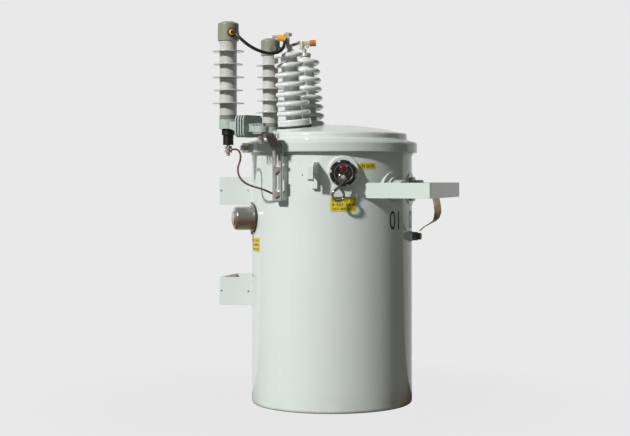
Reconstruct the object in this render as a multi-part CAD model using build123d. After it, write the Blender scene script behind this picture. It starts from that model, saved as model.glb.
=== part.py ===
from build123d import *
import os
from math import acos, atan2, cos, degrees, pi, radians, sin, sqrt, tan

# Pole mounted distribution transformer with two surge arresters on welded side brackets.
# Millimetres. Z is up and the tank stands on Z = 0 with its axis on the Z axis.
# +X is the low-voltage side, -X is the side that hangs on the pole.

# ---- driving dimensions ----
tank_r = 228.5
tank_top = 715.0
foot_height = 14.0
foot_wall = 6.0
edge_round = 9.0

band_r = 243.0
band_lip = 704.0
band_low = 710.0
band_high = 742.0
flange_r = 235.0
flange_low = 720.0
flange_mid = 728.0
flange_high = 736.0

cover_crown = 791.0
cover_step_r = 214.0
cover_step_low = 747.0
cover_step_high = 760.0
cover_edge = 6.0
cover_turn = 5.4

bushing_spread = 121.0
bushing_back = -86.0
bushing_lean = 7.0
bushing_seat_z = 779.5
bushing_height = 221.0
bushing_core_r = 24.0
neck_low = 206.0
neck_r = 11.5
shed_first = 41.0
bushing_pitch = 26.8

# The far arrester sits lower in its slotted strap than the near one.
arrester_x = {-1: -241.7, 1: -246.5}
arrester_y = 213.0
far_drop = 6.0
arrester_base_z = 800.0
cap_height = 53.0
arrester_core_r = 24.0
shed_pitch = 35.8

bracket_angle = 68.0
strap_stand = 22.0
strap_width = 30.0
strap_thick = 4.7
strap_low = 577.0
strap_bend = 716.0
tongue_z = 761.0
strap_flare = 37.0
tongue_reach = 112.0
clamp_bolt_reach = 92.0
clamp_bolt_r = 6.0
clamp_height = 16.0
clamp_r = 20.0

hanger_z_upper = 603.0
hanger_spacing = 285.75
hanger_width = 160.0
hanger_height = 79.0
hanger_thick = 6.0
hanger_stand = 85.0
slot_width = 18.0

lv_z = 608.0
lv_step = 28.0
lv_boss_r = 57.0
guard_x = 329.0
guard_half = 247.0
guard_root_half = 182.0
guard_height = 42.0
guard_thick = 4.0
guard_z = 605.0

lead_dia = 9.0
wire_dia = 5.6

connector_turn = 14.0
sleeve_r = {-1: 8.5, 1: 9.5}
sleeve_length = {-1: 22.0, 1: 18.5}
sleeve_middle = {-1: (-16.5, -16, 25.6), 1: (22.2, 0, 41)}
sleeve_tilt = {-1: 15, 1: -3}
port_angle = 54.0
port_rise = 21.0
cap_wall = 47.5

fin_start = 75.0
fin_pitch = 11.0
fin_width = 76.0
fin_height = 59.0
fin_turn = 10.0
fin_z = 778.5
bracket_plate = 4.7
bracket_middle = 660.0
bracket_height = 164.0

lug_x = 11.0
lug_thick = 15.0
lug_inner = 12.0
lug_gap = 34.0
lug_reach = 57.0
lug_throat = 648.0
slot_length = 42.0

tap_angle = -151.0
tap_z = 526.0

handle_angle = -69.0
handle_z = 652.0
handle_apex = (-26.5, 10.4)
eye_middle = (-48.4, 12.8)
eye_r = 15.6
eye_wire_r = 3.9
boss_r = 42.0
nut_r = 36.0

guard_root_x = 136.0
ground_angle = -2.0
ground_z = 475.5

# Points are x, y, z. The leads hang from the arrester caps to the bushing connectors.
lead_route_1 = [(-227.5, -232.5, 1038), (-213.5, -251.5, 1038.5), (-196.5, -260, 1022.5), (-171, -255, 999.5),
                (-144.5, -242, 984.5), (-117.5, -222, 977.5), (-96.5, -204.5, 984), (-88.5, -187, 1000),
                (-91, -170, 1019.5)]
lead_route_2 = [(-232.5, 232.5, 1032), (-218.5, 251.5, 1037), (-199, 261, 1046), (-177, 255, 1049.5),
                (-163, 233, 1050), (-155.5, 206, 1049.5), (-146.5, 181, 1047), (-136.5, 158, 1044),
                (-125.5, 134.5, 1040.5)]
wire_route_1 = [(-229.7, -217, 717), (-214.7, -223, 720), (-201.2, -229, 708), (-199.2, -234, 688),
                (-206, -241, 668), (-201, -247, 644), (-184, -251, 626), (-159, -251, 616),
                (-133, -247, 609), (-118, -243, 602), (-106, -238, 596)]
wire_route_2 = [(-234.5, 217, 711), (-219.5, 223, 714), (-205.5, 229, 702), (-202.5, 234, 682),
                (-208.5, 241, 662), (-202.5, 247, 638), (-184.5, 250, 620), (-159, 250, 610),
                (-133, 247, 603), (-118, 243, 596), (-106, 238, 590)]
# x, y, z and the turn of the flat strap's width about the vertical, in degrees.
strap_route = [(301, -6, 600, 0), (302.5, -6, 580, 0), (306, -6, 562, 6), (307.5, -5, 545, 20),
               (304, -4, 530, 45), (297, -3, 519, 72), (284, -1.5, 511, 86), (268, 0, 502, 90),
               (255, 0, 490.5, 90)]


# ---- helpers ----
def export(node, shape):
    shape = shape if isinstance(shape, Compound) else Compound(children=[shape])
    export_step(shape, os.path.join("parts", node + ".step"))


def solids_of(*shapes):
    found = []
    for shape in shapes:
        found += list(shape.solids())
    return Compound(children=found)


def outward(angle, reach, height):
    # A plane on the radial line at this angle, its z axis pointing away from the tank's axis.
    out = Vector(cos(radians(angle)), sin(radians(angle)), 0)
    return Plane(origin=out * reach + Vector(0, 0, height), x_dir=(0, 0, 1), z_dir=out)


def revolved(points):
    face = make_face(Polyline(*[(r, 0, z) for r, z in points], close=True))
    return revolve(face, Axis.Z, 360)


def shed_profile(core, sheds, thick, drop, low, high):
    # Half outline of a shedded insulator: a core with one rounded shed at each (height, radius).
    lines = []
    last = (0, low)
    corner = (core, low)
    lines.append(Line(last, corner))
    last = corner
    for height, radius in sheds:
        under = (core, height - 1)
        tip_low = (radius - thick / 2, height - thick / 2)
        tip = (radius, height)
        tip_high = (radius - thick / 2, height + thick / 2)
        root = (core, height + thick / 2 + drop)
        lines.append(Line(last, under))
        lines.append(Line(under, tip_low))
        lines.append(ThreePointArc(tip_low, tip, tip_high))
        lines.append(Line(tip_high, root))
        last = root
    lines.append(Line(last, (core, high)))
    lines.append(Line((core, high), (0, high)))
    lines.append(Line((0, high), (0, low)))
    face = make_face(lines)
    return revolve(Plane.XZ * face, Axis.Z, 360)


def cord_solid(name, route, radius):
    points = [Vector(*p) for p in route]
    runs = [(b - a).length for a, b in zip(points, points[1:])]
    radii = []
    for i in range(1, len(points) - 1):
        turn = (points[i] - points[i - 1]).get_angle(points[i + 1] - points[i])
        radii.append(0.45 * min(runs[i - 1], runs[i]) / tan(radians(turn) / 2))
    path = FilletPolyline(*points, radius=radii)
    start = Plane(origin=points[0], z_dir=(points[1] - points[0]).normalized())
    tube = sweep(start * Circle(radius), path=path)
    filled = tube.volume / (pi * radius**2 * path.length)
    print(name, "length %.0f" % path.length, "volume ratio %.4f" % filled)
    print("  runs", [round(run) for run in runs], "radii", [round(r) for r in radii])
    return tube


def hex_prism(across, height):
    return extrude(RegularPolygon(across / sqrt(3), 6), height / 2, both=True)


def disc(radius, low, high):
    return Pos(0, 0, low) * Cylinder(radius, high - low, align=(Align.CENTER, Align.CENTER, Align.MIN))


def tank_cylinder():
    return disc(tank_r, -1, 800)


def bent_strip(points, thick, width):
    # A flat bar bent along points in the XZ plane, its width along Y.
    steps = [Vector(x, 0, z) for x, z in points]
    normals = []
    for a, b in zip(steps, steps[1:]):
        run = (b - a).normalized()
        normals.append(Vector(-run.Z, 0, run.X))
    left = []
    right = []
    for i, step in enumerate(steps):
        before = normals[max(i - 1, 0)]
        after = normals[min(i, len(normals) - 1)]
        half_turn = radians(before.get_angle(after) / 2)
        mitre = (before + after).normalized() * (thick / cos(half_turn) / 2)
        left.append(step + mitre)
        right.append(step - mitre)
    face = make_face(Polyline(*left, *reversed(right), close=True))
    return extrude(face, width / 2, both=True, dir=(0, 1, 0))


# ---- tank ----
def make_tank():
    body = disc(tank_r, 0, tank_top)
    body = fillet(body.edges().sort_by(Axis.Z)[0], edge_round)
    body += disc(tank_r, tank_top, flange_mid)
    body += disc(flange_r, flange_low, flange_mid)
    body -= disc(tank_r - edge_round - foot_wall, 0, foot_height)
    for index in (-1, 0, 1):
        place = outward(index * lv_step, tank_r - 12, lv_z)
        body += place * extrude(Circle(lv_boss_r), 13.4, taper=35)
    return body


def make_cover():
    crown_r = cover_step_r - cover_edge
    crown_low = cover_step_high + cover_edge
    crown_drop = cover_crown - crown_low
    ball_r = (crown_r**2 + crown_drop**2) / (2 * crown_drop)
    half = ball_r - sqrt(ball_r**2 - (crown_r / 2)**2)
    corner = cover_edge * (1 - sqrt(0.5))
    outline = [
        Line((0, flange_mid), (flange_r, flange_mid)),
        Line((flange_r, flange_mid), (flange_r, flange_high)),
        Line((flange_r, flange_high), (230, flange_high)),
        Line((230, flange_high), (229, band_high + 1)),
        Line((229, band_high + 1), (cover_step_r + 3, cover_step_low)),
        Line((cover_step_r + 3, cover_step_low), (cover_step_r, cover_step_low + 3)),
        Line((cover_step_r, cover_step_low + 3), (cover_step_r, cover_step_high)),
        ThreePointArc((cover_step_r, cover_step_high), (cover_step_r - corner, crown_low - corner),
                      (crown_r, crown_low)),
        ThreePointArc((crown_r, crown_low), (crown_r / 2, cover_crown - half), (0, cover_crown)),
        Line((0, cover_crown), (0, flange_mid)),
    ]
    cover = revolve(Plane.XZ * make_face(outline), Axis.Z, 360)
    for side in (-1, 1):
        cover += bushing_frame(side) * disc(50, -26, 0)
    return cover


def make_band():
    # Clamps the two flanges, with a narrow lip down the wall under them.
    return revolved([
        (229.5, band_lip), (232, band_lip), (232, band_low), (band_r - 1.5, band_low), (band_r, band_low + 2),
        (band_r, 735), (240, 740), (235, band_high), (231, band_high), (231, flange_high),
        (flange_r + 0.5, flange_high), (flange_r + 0.5, flange_low - 0.5), (229.5, flange_low - 0.5)])


def make_band_bolt():
    # The band's tightening nut stands straight out from it.
    place = outward(-150, band_r, 724)
    washer = disc(14, -1, 3)
    nut = Pos(0, 0, 10) * hex_prism(24, 14)
    collar = disc(12.5, 17, 20)
    end = fillet(disc(7, 20, 26).edges().sort_by(Axis.Z)[-1], 2)
    return place * (washer + nut + collar + end) - disc(band_r, 690, 760)


# ---- high-voltage bushings ----
def bushing_frame(side):
    turn = radians(cover_turn)
    x = bushing_back * cos(turn) - side * bushing_spread * sin(turn)
    y = bushing_back * sin(turn) + side * bushing_spread * cos(turn)
    reach = sqrt(x * x + y * y)
    out = Vector(x / reach, y / reach, 0)
    axis = out * sin(radians(bushing_lean)) + Vector(0, 0, cos(radians(bushing_lean)))
    return Plane(origin=(x, y, bushing_seat_z), x_dir=(-y / reach, x / reach, 0), z_dir=axis)


def make_gasket(side):
    return bushing_frame(side) * disc(47.5, 0, 4)


def make_bushing(side):
    sheds = []
    for i in range(7):
        sheds.append((shed_first + i * bushing_pitch, 47 - i * 1.0))
    body = shed_profile(bushing_core_r, sheds, 13, 3, 20, neck_low)
    base = fillet(disc(46.5, 4, 24).edges(), 5)
    rise = bushing_height - neck_low
    neck = Pos(0, 0, neck_low + rise / 2) * Cone(bushing_core_r, neck_r, rise)
    return bushing_frame(side) * (body + base + neck)


def connector_frame(side):
    # Upright, on top of the bushing, turned with the clamp that stands there.
    top = bushing_frame(side).from_local_coords((0, 0, bushing_height))
    return Pos(top.X, top.Y, top.Z) * Rot(0, 0, connector_turn)


def sleeve_frame(side):
    return connector_frame(side) * Pos(*sleeve_middle[side]) * Rot(0, 90 + sleeve_tilt[side], 0)


def ring_nut(side, radius):
    nut = disc(radius, bushing_height, bushing_height + 10)
    return bushing_frame(side) * fillet(nut.edges().sort_by(Axis.Z)[-1], 2.5)


def make_hv_terminal(side):
    if side > 0:
        stem = Pos(-2.7, 0, 0) * disc(6, 8, 24)
        body = Pos(-9.6, 0, 0) * fillet(disc(7.5, 21.7, 46.3).edges(), 3)
        screw = Pos(6.5, 0, 31) * Rot(90, 0, 0) * Cylinder(5, 11)
        start = -sleeve_length[side] / 2
        barrel = sleeve_frame(side) * disc(6.5, start - 21, start)
        return ring_nut(side, 17) + connector_frame(side) * (stem + body + screw) + barrel
    plate = Pos(-2, 2, 26) * fillet(Box(12, 18, 36).edges().filter_by(Axis.X), 4)
    bolt = Pos(-2, 2, 38) * Rot(0, 90, 0) * Cylinder(4, 22)
    head = Pos(3, 2, 38) * Rot(0, 90, 0) * fillet(disc(5.2, 0, 8).edges().sort_by(Axis.Z)[-1], 3)
    rod = Pos(-21, 2, 32) * Rot(0, 90, 0) * Cylinder(3, 38)
    rod_end = Pos(-34, 2, 32) * Rot(0, 90, 0) * Cylinder(4.3, 19)
    return ring_nut(side, 12.8) + connector_frame(side) * (plate + bolt + head + rod + rod_end)


def make_sleeve(side):
    # A short insulating sleeve over the end of the jumper lead, lying across the connector.
    return sleeve_frame(side) * Cylinder(sleeve_r[side], sleeve_length[side])


# ---- surge arresters ----
def side_drop(side):
    return far_drop if side > 0 else 0


def at_arrester(side, shape):
    return Pos(arrester_x[side], side * arrester_y, -side_drop(side)) * shape


def make_arrester_body(side):
    low = arrester_base_z + 12
    first = low + 32.3
    sheds = []
    for i in range(5):
        sheds.append((first + i * shed_pitch, 44.5 if i % 2 == 0 else 41))
    return at_arrester(side, shed_profile(arrester_core_r, sheds, 2.6, 3, low, low + 200))


def make_arrester_collar(side):
    low = arrester_base_z + 212
    return at_arrester(side, disc(25, low, low + 5))


def port_place(facing):
    # Cable ports on the cap, one each side of the line across the tank.
    angle = radians(facing * port_angle)
    height = arrester_base_z + 217 + port_rise
    return Plane(origin=(0, 0, height), x_dir=(0, 0, 1), z_dir=(cos(angle), sin(angle), 0))


def make_arrester_cap(side):
    low = arrester_base_z + 217
    wall_r = 29
    high = low + cap_wall
    top = low + cap_height
    outline = make_face(Polyline((0, low), (wall_r, low), (wall_r, high), (15, top), (0, top), close=True))
    shoulder = outline.vertices().group_by(Axis.X)[-1].sort_by(Axis.Y)[-1]
    cap = revolve(Plane.XZ * fillet(shoulder, 5), Axis.Z, 360)
    for facing in (-1, 1):
        cap += port_place(facing) * disc(11, 20, 29.5)
    cap -= port_place(side) * disc(lead_dia / 2 + 2.5, 24, 33)
    return at_arrester(side, cap)


def make_arrester_base(side):
    return at_arrester(side, disc(24.5, arrester_base_z, arrester_base_z + 12))


def arm_place(side):
    # x runs along the insulating arm, from the arrester's axis to the clamp bolt.
    x, y = clamp_point()
    angle = degrees(atan2(side * (y - arrester_y), x - arrester_x[side]))
    return Pos(arrester_x[side], side * arrester_y, -side_drop(side)) * Rot(0, 0, angle)


def clamp_point():
    reach = tank_r + clamp_bolt_reach
    return (-reach * cos(radians(bracket_angle)), reach * sin(radians(bracket_angle)))


def arm_length(side):
    x, y = clamp_point()
    return sqrt((x - arrester_x[side])**2 + (y - arrester_y)**2)


def make_arm(side):
    top = arrester_base_z
    length = arm_length(side)
    head = disc(25, top - 26, top)
    web = extrude(Plane.XZ * make_face(Polyline(
        (10, top - 26), (22, top - 26), (64, tongue_z + 1), (length - 40, tongue_z + 1),
        (length - 40, top - 7), (10, top - 7), close=True)), 12, both=True)
    neck = extrude(Plane.XZ * make_face(Polyline(
        (length - 70, tongue_z + 2), (length, tongue_z + 2), (length, tongue_z + clamp_height - 2),
        (length - 14, tongue_z + clamp_height - 1), (length - 38, tongue_z + 27),
        (length - 70, tongue_z + 27), close=True)), 17, both=True)
    clamp = Pos(length, 0, 0) * fillet(disc(clamp_r, tongue_z, tongue_z + clamp_height).edges(), 1.5)
    arm = head + web + neck + clamp
    for i in range(4):
        fin = Plane.YZ * RectangleRounded(fin_width, fin_height, 11)
        placed = Pos(fin_start + i * fin_pitch, 0, fin_z) * Rot(0, 0, side * -fin_turn)
        arm += placed * extrude(fin, 2.2, both=True)
    arm -= Pos(length, 0, 0) * disc(clamp_bolt_r + 0.5, tongue_z - 10, top + 10)
    return arm_place(side) * arm


def make_disconnector(side):
    top = arrester_base_z - 26
    upper = disc(18, top - 17, top)
    lower = disc(14.5, top - 44, top - 17)
    return at_arrester(side, upper + lower)


def make_stud(side):
    top = arrester_base_z - 70
    stud = disc(5, top - 30, top)
    for drop in (7, 17):
        stud += Pos(0, 0, top - drop) * hex_prism(19, 8)
    return at_arrester(side, stud)


def bracket_frame(side):
    return Pos(0, 0, -side_drop(side)) * Rot(0, 0, side * (180 - bracket_angle))


def make_strap(side):
    inner = tank_r + strap_stand + strap_thick / 2
    tongue = tongue_z - strap_thick / 2
    strap = bent_strip([(inner, strap_low), (inner, strap_bend), (inner + strap_flare, tongue),
                        (tank_r + tongue_reach, tongue)], strap_thick, strap_width)
    strap -= Pos(inner, 0, (strap_low + strap_bend) / 2) * Box(12, 9, strap_bend - strap_low - 20)
    strap -= Pos(tank_r + clamp_bolt_reach, 0, tongue) * Cylinder(6.5, 20)
    return bracket_frame(side) * strap


def make_bracket_bolts(side):
    face = tank_r + strap_stand + strap_thick
    bolts = []
    for height in (strap_low + 19, strap_low + 86):
        bolt = Rot(0, 90, 0) * Pos(0, 0, -10) * Cylinder(4, 20)
        washer = Rot(0, 90, 0) * disc(12.5, 0, 2)
        head = Rot(0, 90, 0) * Pos(0, 0, 4.5) * hex_prism(19, 5)
        bolts.append(Pos(face, 0, height) * (bolt + washer + head))
    clamp = Pos(tank_r + clamp_bolt_reach, 0, 0)
    seat = tongue_z + clamp_height
    shank = clamp * disc(clamp_bolt_r, 730, seat + 4)
    top_head = clamp * Pos(0, 0, seat + 4.5) * hex_prism(19, 9)
    nut = clamp * Pos(0, 0, tongue_z - strap_thick - 5) * hex_prism(19, 10)
    bolts.append(shank + top_head + nut)
    return bracket_frame(side) * solids_of(*bolts)


def make_side_bracket(side):
    # A welded angle: a front plate behind the strap and a web back to the tank wall.
    face = tank_r + strap_stand
    plate = Pos(face - bracket_plate / 2, 0, bracket_middle) * Box(bracket_plate, 34, bracket_height)
    web_place = Pos((face + tank_r) / 2 - 6, -side * (17 - bracket_plate / 2), bracket_middle)
    web = web_place * Box(face - tank_r + 12, bracket_plate, bracket_height)
    web -= disc(band_r + 4, band_lip - 5, 800)
    bracket = plate + web - Pos(0, 0, 1) * tank_cylinder()
    for height in (strap_low + 19, strap_low + 86):
        bracket -= Pos(face, 0, height) * Rot(0, 90, 0) * Cylinder(5, 30)
    for height, tall in ((619, 30), (675, 7)):
        bracket += Pos(face - bracket_plate / 2, -side * 19, height) * Box(bracket_plate, 6, tall)
    return bracket_frame(side) * bracket


# ---- lifting lugs and pole hangers ----
def make_lug(side):
    outline = Polyline(
        (0, 610), (lug_inner, 610), (lug_inner, lug_throat), (lug_inner + lug_gap, lug_throat),
        (lug_inner + lug_gap, 630), (lug_reach, 636), (lug_reach, 670), (lug_reach - 12, 681), (0, 681),
        close=True)
    plate = extrude(make_face(outline), lug_thick / 2, both=True)
    placed = Plane(origin=(lug_x, side * (tank_r - 1.5), 0), x_dir=(0, side, 0), z_dir=(side, 0, 0))
    return placed * plate - tank_cylinder()


def make_hanger(middle):
    back = -(tank_r + hanger_stand)
    shape = Pos(back + hanger_thick / 2, 0, middle) * Box(hanger_thick, hanger_width, hanger_height)
    for side in (-1, 1):
        length = -back - tank_r / 2
        plate = Pos(back + length / 2, side * (hanger_width - hanger_thick) / 2, middle) * Box(
            length, hanger_thick, hanger_height)
        shape += plate
    shape = fillet(shape.edges().filter_by(Axis.Z).group_by(Axis.X)[0], 5)
    shape -= tank_cylinder()
    slot = Pos(back, 0, middle) * Rot(0, 90, 0) * extrude(SlotOverall(slot_length, slot_width), 20, both=True)
    shape -= slot
    for x in (back + 8, back + 89):
        shape -= Pos(x, 0, middle) * Rot(90, 0, 0) * Cylinder(3, hanger_width + 10)
    return shape


# ---- tap changer and breaker ----
def make_tap_gasket():
    ring = outward(tap_angle, tank_r - 8, tap_z) * disc(40, 0, 11)
    return ring - tank_cylinder()


def make_tap_cover():
    place = outward(tap_angle, tank_r + 3, tap_z)
    cup = fillet(disc(33, 2, 54).edges().sort_by(Axis.Z)[-1], 9)
    crown = fillet(disc(21, 52, 57).edges().sort_by(Axis.Z)[-1], 2.5)
    shape = disc(39, 0, 4) + cup + crown
    for up in (-1, 1):
        shape += Pos(up * 41, 0, 2.5) * Box(8, 10, 5)
    return place * shape


def make_breaker_boss():
    pad = Pos(5, -3, 0) * fillet(disc(boss_r, -10, 9).edges().sort_by(Axis.Z)[-1], 3)
    tab = Pos(-49, 0, 0) * Box(30, 50, 14)
    return outward(handle_angle, tank_r, handle_z) * (pad + tab) - tank_cylinder()


def make_locknut():
    nut = disc(nut_r, 9, 21) - disc(28, 18, 23)
    for i in range(6):
        nut -= Rot(0, 0, i * 60 + 20) * Pos(nut_r + 1, 0, 16) * Box(12, 9, 16)
    return outward(handle_angle, tank_r, handle_z) * nut


def make_faceplate():
    return outward(handle_angle, tank_r, handle_z) * disc(26.5, 18, 23)


def hub_place():
    return outward(handle_angle, tank_r, handle_z) * Pos(-11, 3.5, 0)


def make_lens():
    lens = disc(8.6, 23, 28)
    lens = fillet(lens.edges().sort_by(Axis.Z)[-1], 4)
    return outward(handle_angle, tank_r, handle_z) * Pos(12, 0, 0) * lens


def make_handle():
    # The rest position hangs down and a little to the left of the hub, seen from outside.
    height = 40.5
    hub = disc(7.5, 23.5, 44)
    apex = Vector(*handle_apex, height)
    middle = Vector(*eye_middle, height)
    arm = apex - Vector(0, 0, height)
    bar_place = Plane(origin=Vector(0, 0, height) + arm / 2, x_dir=arm.normalized(), z_dir=(0, 0, 1))
    bar = bar_place * Box(arm.length + 2, 8, 6)
    along = (apex - middle).normalized()
    across = Vector(-along.Y, along.X, 0)
    opening = acos(eye_r / (apex - middle).length)
    upper = middle + (along * cos(opening) + across * sin(opening)) * eye_r
    lower = middle + (along * cos(opening) - across * sin(opening)) * eye_r
    path = Wire([Edge.make_line(apex, upper),
                 Edge.make_three_point_arc(upper, middle - along * eye_r, lower),
                 Edge.make_line(lower, apex)])
    start = Plane(origin=apex, z_dir=(upper - apex).normalized())
    eye = sweep(start * Circle(eye_wire_r), path=path, transition=Transition.RIGHT)
    return hub_place() * (hub + bar + eye)


# ---- low-voltage side ----
def make_lv_bushing(index):
    angle = (index - 2) * lv_step
    place = outward(angle, tank_r + 3, lv_z)
    ring = disc(34, 0, 8)
    body = disc(26, 8, 34)
    body = fillet(body.edges().sort_by(Axis.Z)[-1], 5)
    return place * (ring + body)


def make_lv_terminal(index):
    angle = (index - 2) * lv_step
    place = outward(angle, tank_r + 3, lv_z)
    stud = disc(8, 34, 46)
    nut = Pos(0, 0, 38) * hex_prism(24, 8)
    reach = 74 if index == 2 else 70
    spade = Pos(0, 0, (46 + reach) / 2) * Box(34, 7, reach - 46)
    spade -= Pos(0, 0, 60) * Rot(90, 0, 0) * Cylinder(6, 20)
    return place * (stud + nut + spade)


def make_guard():
    outer = [(guard_root_x, -guard_root_half), (guard_x, -guard_half), (guard_x, guard_half),
             (guard_root_x, guard_root_half)]
    inner = [(guard_root_x, -guard_root_half + guard_thick),
             (guard_x - guard_thick, -guard_half + guard_thick),
             (guard_x - guard_thick, guard_half - guard_thick),
             (guard_root_x, guard_root_half - guard_thick)]
    face = make_face(Polyline(*outer, *reversed(inner), close=True))
    strip = Pos(0, 0, guard_z - guard_height / 2) * extrude(face, guard_height)
    corners = strip.edges().filter_by(Axis.Z).sort_by(Axis.X)[-4:]
    strip = fillet(corners, 3.5)
    return strip - tank_cylinder()


def make_ground_boss():
    place = outward(ground_angle, tank_r - 4, ground_z)
    boss = fillet(disc(14, 0, 12).edges().sort_by(Axis.Z)[-1], 2)
    return place * (boss + disc(12, 12, 26)) - tank_cylinder()


def make_ground_stud():
    return outward(ground_angle, tank_r, ground_z) * disc(9.5, 22, 32)


def make_ground_strap():
    sections = [Vector(*point[:3]) for point in strap_route]
    faces = []
    for i, point in enumerate(strap_route):
        ahead = sections[min(i + 1, len(sections) - 1)]
        behind = sections[max(i - 1, 0)]
        tangent = (ahead - behind).normalized()
        turn = radians(point[3])
        across = Vector(cos(turn), sin(turn), 0)
        across = (across - tangent * across.dot(tangent)).normalized()
        faces.append(Plane(origin=sections[i], x_dir=across, z_dir=tangent) * Rectangle(20, 1.6))
    return loft(faces, ruled=True)


def build_all():
    parts = {}
    parts["tank_body"] = make_tank()
    parts["tank_cover"] = make_cover()
    parts["cover_band"] = make_band()
    parts["band_bolt"] = make_band_bolt()
    for number, side in ((1, -1), (2, 1)):
        parts["hv_gasket_%d" % number] = make_gasket(side)
        parts["hv_bushing_%d" % number] = make_bushing(side)
        parts["hv_terminal_%d" % number] = make_hv_terminal(side)
        parts["lead_sleeve_%d" % number] = make_sleeve(side)
        parts["arrester_body_%d" % number] = make_arrester_body(side)
        parts["arrester_collar_%d" % number] = make_arrester_collar(side)
        parts["arrester_cap_%d" % number] = make_arrester_cap(side)
        parts["arrester_base_%d" % number] = make_arrester_base(side)
        parts["arrester_arm_%d" % number] = make_arm(side)
        parts["arrester_disconnector_%d" % number] = make_disconnector(side)
        parts["arrester_stud_%d" % number] = make_stud(side)
        parts["bracket_strap_%d" % number] = make_strap(side)
        parts["bracket_bolts_%d" % number] = make_bracket_bolts(side)
        parts["side_bracket_%d" % number] = make_side_bracket(side)
        parts["lifting_lug_%d" % number] = make_lug(side)
    parts["pole_hanger_upper"] = make_hanger(hanger_z_upper)
    parts["pole_hanger_lower"] = make_hanger(hanger_z_upper - hanger_spacing)
    parts["tap_changer_gasket"] = make_tap_gasket()
    parts["tap_changer_cover"] = make_tap_cover()
    parts["breaker_boss"] = make_breaker_boss()
    parts["breaker_locknut"] = make_locknut()
    parts["breaker_faceplate"] = make_faceplate()
    parts["breaker_lens"] = make_lens()
    parts["breaker_handle"] = make_handle()
    for index in (1, 2, 3):
        parts["lv_bushing_%d" % index] = make_lv_bushing(index)
        parts["lv_terminal_%d" % index] = make_lv_terminal(index)
    parts["lv_guard"] = make_guard()
    parts["ground_boss"] = make_ground_boss()
    parts["ground_stud"] = make_ground_stud()
    parts["ground_strap"] = make_ground_strap()
    parts["jumper_lead_1"] = cord_solid("jumper_lead_1", lead_route_1, lead_dia / 2)
    parts["jumper_lead_2"] = cord_solid("jumper_lead_2", lead_route_2, lead_dia / 2)
    parts["ground_wire_1"] = cord_solid("ground_wire_1", wire_route_1, wire_dia / 2)
    parts["ground_wire_2"] = cord_solid("ground_wire_2", wire_route_2, wire_dia / 2)
    return parts


os.makedirs("parts", exist_ok=True)
for node, shape in build_all().items():
    export(node, shape)
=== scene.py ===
import bmesh
import bpy
from math import asin, cos, pi, radians, sin, sqrt
from mathutils import Matrix, Vector


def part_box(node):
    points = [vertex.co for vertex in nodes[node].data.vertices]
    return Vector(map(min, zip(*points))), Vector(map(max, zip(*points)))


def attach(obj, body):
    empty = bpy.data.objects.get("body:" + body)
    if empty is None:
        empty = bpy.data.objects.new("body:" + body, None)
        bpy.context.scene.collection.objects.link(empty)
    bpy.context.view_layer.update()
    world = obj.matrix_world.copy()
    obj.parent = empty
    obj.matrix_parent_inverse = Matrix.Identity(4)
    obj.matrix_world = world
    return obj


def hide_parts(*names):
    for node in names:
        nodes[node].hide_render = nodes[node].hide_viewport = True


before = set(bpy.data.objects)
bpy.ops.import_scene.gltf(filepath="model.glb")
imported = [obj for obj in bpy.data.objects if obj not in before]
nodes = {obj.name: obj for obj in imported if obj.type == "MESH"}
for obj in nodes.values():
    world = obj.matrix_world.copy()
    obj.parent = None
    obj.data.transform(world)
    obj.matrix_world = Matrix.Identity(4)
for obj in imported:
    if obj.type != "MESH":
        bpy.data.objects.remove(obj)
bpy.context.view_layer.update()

tankRadius = 0.2285     # outside of the tank wall
bracketAngle = 112.0    # degrees round to each arrester bracket

camera = {
    "turn": 14.0,       # degrees round from straight on
    "distance": 4.09,
    "height": 0.6335,
    "lens": 81.71,
    "shift": (-0.027, -0.0603),
}


def makeCamera(settings):
    data = bpy.data.cameras.new("camera")
    data.lens = settings["lens"]
    data.sensor_width = 36
    data.shift_x, data.shift_y = settings["shift"]
    data.clip_start = 0.1
    data.clip_end = 60
    eye = bpy.data.objects.new("camera", data)
    turn, far = radians(settings["turn"]), settings["distance"]
    eye.location = (far * sin(turn), -far * cos(turn), settings["height"])
    eye.rotation_euler = (radians(90), 0, turn)
    bpy.context.scene.collection.objects.link(eye)
    bpy.context.scene.camera = eye


makeCamera(camera)
print("camera placed")


class Wire:
    # one output of a node; sums written on it become Math nodes
    def __init__(self, graph, plug):
        self.graph = graph
        self.plug = plug

    def reckon(self, operation, first, second):
        return self.graph.put("ShaderNodeMath", {"operation": operation}, {0: first, 1: second})

    def __add__(self, other):
        return self.reckon("ADD", self, other)

    def __radd__(self, other):
        return self.reckon("ADD", other, self)

    def __sub__(self, other):
        return self.reckon("SUBTRACT", self, other)

    def __rsub__(self, other):
        return self.reckon("SUBTRACT", other, self)

    def __mul__(self, other):
        return self.reckon("MULTIPLY", self, other)

    def __rmul__(self, other):
        return self.reckon("MULTIPLY", other, self)


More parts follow.
